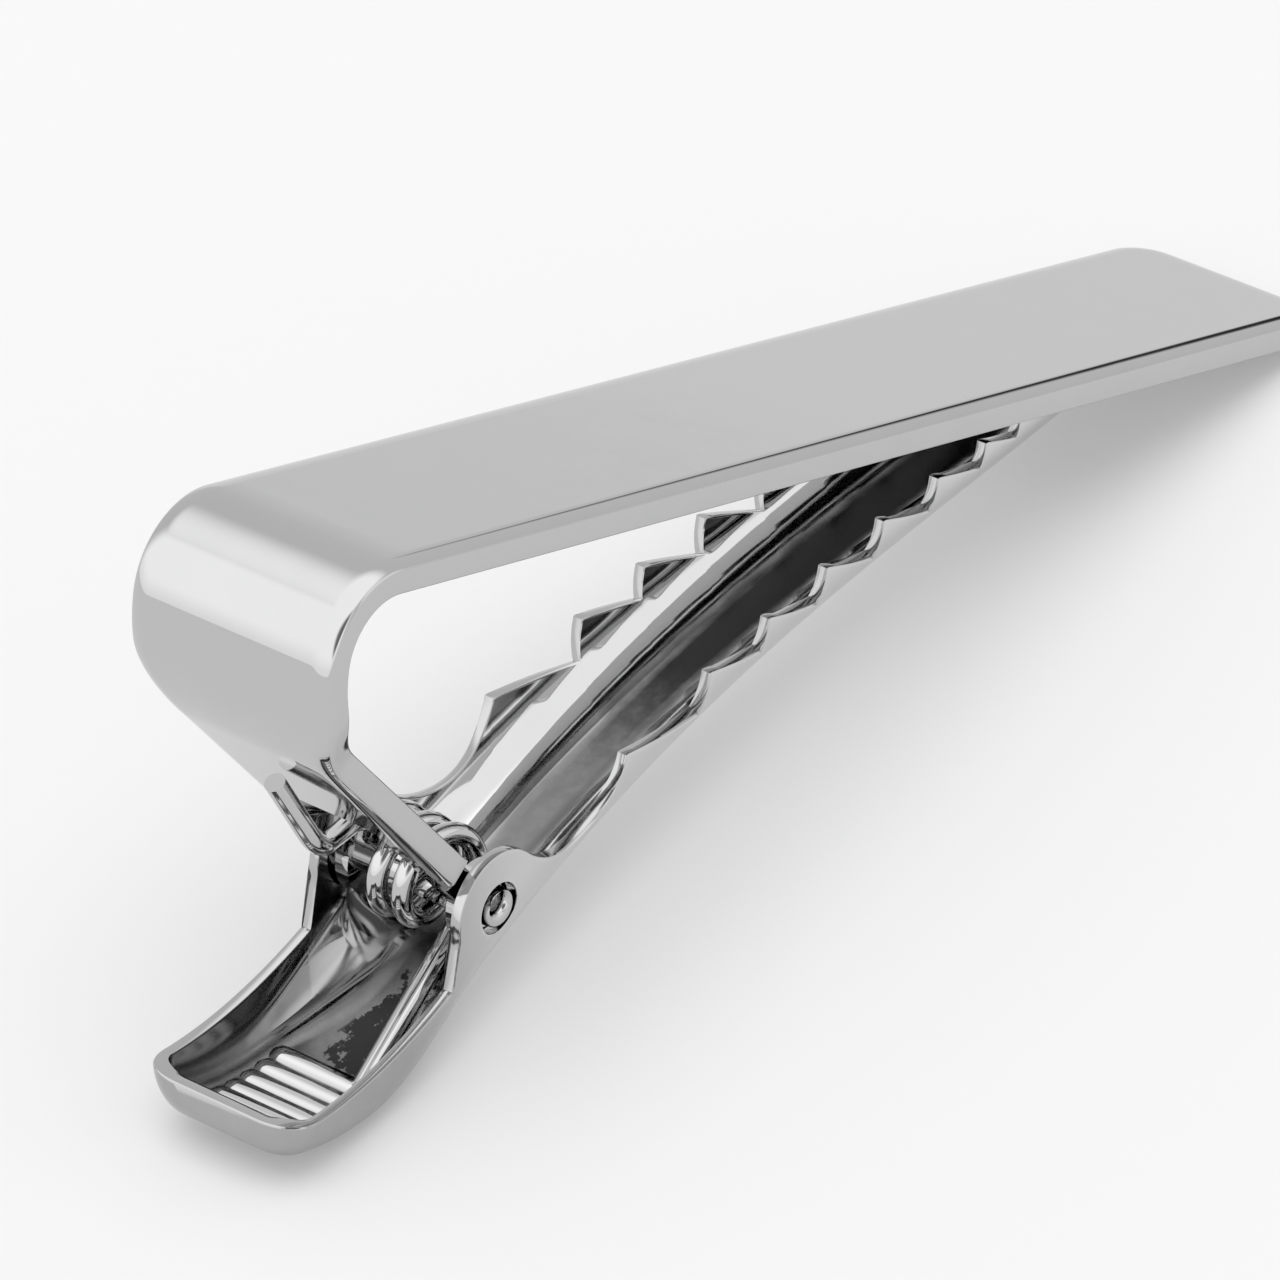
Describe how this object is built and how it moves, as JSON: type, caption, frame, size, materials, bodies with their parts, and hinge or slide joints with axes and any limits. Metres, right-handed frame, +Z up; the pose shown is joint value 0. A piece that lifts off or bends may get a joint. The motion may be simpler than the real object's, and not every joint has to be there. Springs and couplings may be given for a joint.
{
  "type": "tie clip",
  "caption": "Sprung tie clip: a folded flat bar with a toothed channel jaw hinged under it, closed by a coil spring and opened by a ribbed thumb tab.",
  "frame": {"origin": "on the surface that the clip stands on, under the middle of its box", "axes": "+X along the clip from its thumb tab to the bar's free end, +Y across the bar, +Z up; the clip stands on its tab and the bar's end"},
  "size_m": [0.0382, 0.006, 0.0148],
  "materials": {
    "bar_chrome": "mirror polished plating",
    "jaw_chrome": "bright plating over pressed sheet, slightly uneven inside",
    "pin_steel": "bright plating",
    "spring_wire": "bright plated wire, cut ends matt"
  },
  "bodies": {
    "bar": {"front_bar": "bar_chrome", "hinge_pin": "pin_steel", "spring": "spring_wire"},
    "jaw": {"jaw": "jaw_chrome"}
  },
  "joints": [
    {"name": "jaw_hinge", "type": "hinge", "parent": "bar", "child": "jaw", "pos_m": [-0.01127, 0, 0.00309], "axis": [0, 1, 0], "range_deg": [0, 25], "stiffness_Nm_per_rad": 0.03, "springref_deg": -45.84, "deforming": ["spring"]}
  ]
}
